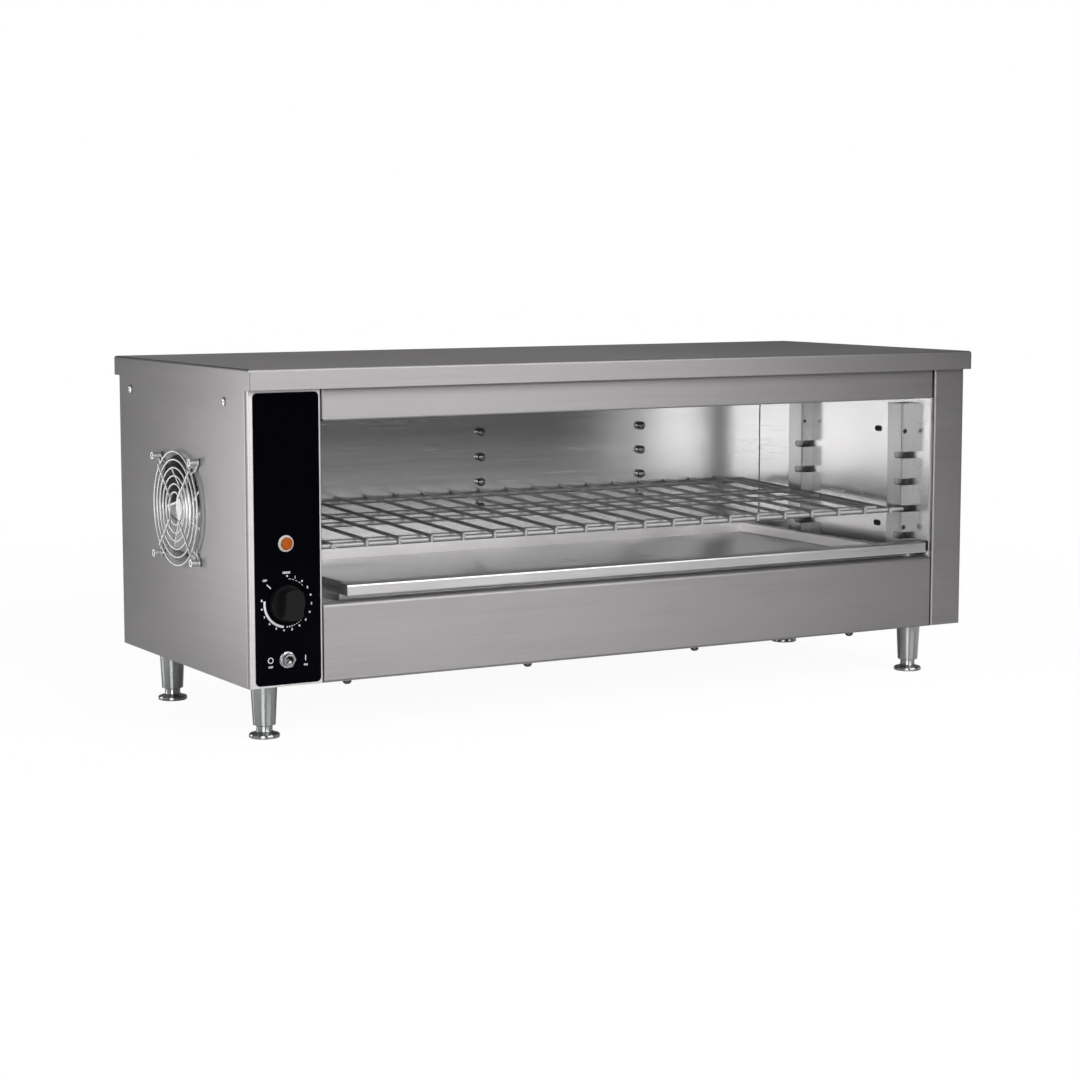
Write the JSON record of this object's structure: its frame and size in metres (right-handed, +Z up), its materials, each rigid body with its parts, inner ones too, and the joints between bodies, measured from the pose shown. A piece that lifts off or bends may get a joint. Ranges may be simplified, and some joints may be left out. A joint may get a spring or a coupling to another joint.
{
  "type": "cheese melter",
  "caption": "Countertop open-front heated cabinet with a sliding wire rack, a crumb tray, overhead heaters and a fan-cooled control column.",
  "frame": {"origin": "on the floor plane, under the middle of the whole, from the fan guard's nuts to the cover's right edge and from the knob to the cover's back edge", "axes": "+X to the right seen from the front, +Y to the back, +Z up"},
  "size_m": [0.9244, 0.3856, 0.3825],
  "materials": {
    "stainless_panel": "fine brushed stainless sheet",
    "stainless_cavity": "bright rolled stainless sheet",
    "chrome_wire": "bright nickel-chrome plated wire",
    "chrome_leg": "satin chrome plate",
    "fastener_steel": "plain bright steel",
    "overlay_black": "gloss polycarbonate label",
    "knob_black": "satin moulded plastic",
    "bezel_white": "gloss moulded plastic",
    "lens_amber": "translucent amber plastic",
    "heater_sheath": "heat-darkened alloy sheath",
    "porcelain": "glazed ceramic",
    "mineral_wool": "mineral fibre blanket",
    "moulded_black": "moulded plastic",
    "moulded_cream": "moulded plastic",
    "fan_alloy": "bright cast and pressed alloy",
    "disc_alloy": "plain alloy cap",
    "lead_red": "silicone lead insulation",
    "bush_rubber": "moulded rubber"
  },
  "bodies": {
    "cabinet": {"top_cover": "stainless_panel", "left_side_panel": "stainless_panel", "right_side_panel": "stainless_panel", "rear_panel": "stainless_panel", "bottom_panel": "stainless_panel", "front_header": "stainless_panel", "front_apron": "stainless_panel", "panel_overlay": "overlay_black", "cavity_left_wall": "stainless_cavity", "cavity_right_wall": "stainless_cavity", "cavity_floor": "stainless_cavity", "reflector": "stainless_cavity", "top_insulation": "mineral_wool", "side_insulation": "mineral_wool", "heating_elements": "heater_sheath", "element_terminals": "porcelain", "element_brackets": "stainless_cavity", "front_left_upright": "stainless_cavity", "rear_left_upright": "stainless_cavity", "front_right_upright": "stainless_cavity", "rear_right_upright": "stainless_cavity", "rack_pegs": "stainless_cavity", "wall_rivets": "fastener_steel", "fan_frame": "fan_alloy", "fan_guard": "chrome_wire", "fan_screws": "fastener_steel", "fan_nuts": "fastener_steel", "heat_control": "moulded_cream", "control_nut": "chrome_leg", "lamp_bezel": "bezel_white", "lamp_lens": "lens_amber", "lamp_body": "moulded_cream", "switch_body": "moulded_black", "switch_nut": "chrome_leg", "contactor": "moulded_black", "terminal_block": "moulded_cream", "limit_thermostat": "disc_alloy", "wiring": "lead_red", "power_inlet_bushing": "bush_rubber", "leg_sleeves": "chrome_leg", "leg_nuts": "fastener_steel", "underside_screws": "fastener_steel", "side_screws": "fastener_steel", "rear_screws": "fastener_steel"},
    "tray": {"crumb_tray": "stainless_panel"},
    "rack": {"wire_rack": "chrome_wire"},
    "knob": {"control_knob": "knob_black", "control_shaft": "chrome_leg"},
    "toggle": {"toggle_lever": "chrome_leg"},
    "fan": {"fan_rotor": "fan_alloy"},
    "foot_front_left": {"front_left_foot": "chrome_leg"},
    "foot_front_right": {"front_right_foot": "chrome_leg"},
    "foot_rear_left": {"rear_left_foot": "chrome_leg"},
    "foot_rear_right": {"rear_right_foot": "chrome_leg"}
  },
  "joints": [
    {"name": "tray_slide", "type": "slide", "parent": "cabinet", "child": "tray", "axis": [0, -1, 0], "range_m": [0, 0.28]},
    {"name": "rack_slide", "type": "slide", "parent": "cabinet", "child": "rack", "axis": [0, -1, 0], "range_m": [0, 0.2]},
    {"name": "knob_turn", "type": "hinge", "parent": "cabinet", "child": "knob", "pos_m": [-0.4097, -0.17165, 0.1455], "axis": [0, 1, 0], "range_deg": [-45, 285]},
    {"name": "toggle_tilt", "type": "hinge", "parent": "cabinet", "child": "toggle", "pos_m": [-0.4097, -0.16965, 0.0877], "axis": [0, 0, 1], "range_deg": [0, 28]},
    {"name": "fan_spin", "type": "hinge", "parent": "cabinet", "child": "fan", "pos_m": [-0.4353, 0.00635, 0.228], "axis": [1, 0, 0], "continuous": true},
    {"name": "front_left_foot_screw", "type": "slide", "parent": "cabinet", "child": "foot_front_left", "axis": [0, 0, -1], "range_m": [0, 0.015]},
    {"name": "front_right_foot_screw", "type": "slide", "parent": "cabinet", "child": "foot_front_right", "axis": [0, 0, -1], "range_m": [0, 0.015]},
    {"name": "rear_left_foot_screw", "type": "slide", "parent": "cabinet", "child": "foot_rear_left", "axis": [0, 0, -1], "range_m": [0, 0.015]},
    {"name": "rear_right_foot_screw", "type": "slide", "parent": "cabinet", "child": "foot_rear_right", "axis": [0, 0, -1], "range_m": [0, 0.015]}
  ]
}
